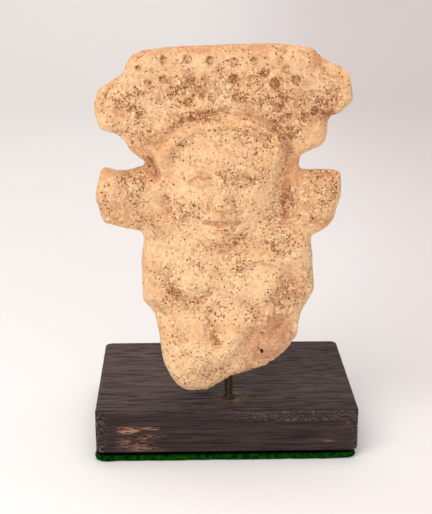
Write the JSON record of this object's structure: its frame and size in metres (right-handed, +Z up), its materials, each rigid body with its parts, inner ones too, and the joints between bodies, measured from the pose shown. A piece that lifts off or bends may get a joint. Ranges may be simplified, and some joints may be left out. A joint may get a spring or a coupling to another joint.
{
  "type": "moulded clay figurine on a display block",
  "caption": "Worn moulded clay figurine with a wide punched headdress and ear flaps, broken off at the hips, held on a metal pin above a dark wooden block with a felt underside.",
  "frame": {"origin": "middle of the felt's underside, where the piece meets the table", "axes": "+Z up, the figure faces -Y, +X to the viewer's right"},
  "size_m": [0.1012, 0.0748, 0.1579],
  "materials": {
    "fired_clay": "matt, worn and pitted buff-orange terracotta",
    "stained_wood": "open-grained timber stained near black, low sheen, worn at the front",
    "green_felt": "dense dark green felt",
    "dark_metal": "dull blackened steel"
  },
  "bodies": {
    "root": {"figurine": "fired_clay", "mounting_rod": "dark_metal", "wood_block": "stained_wood", "felt_pad": "green_felt"}
  },
  "joints": []
}
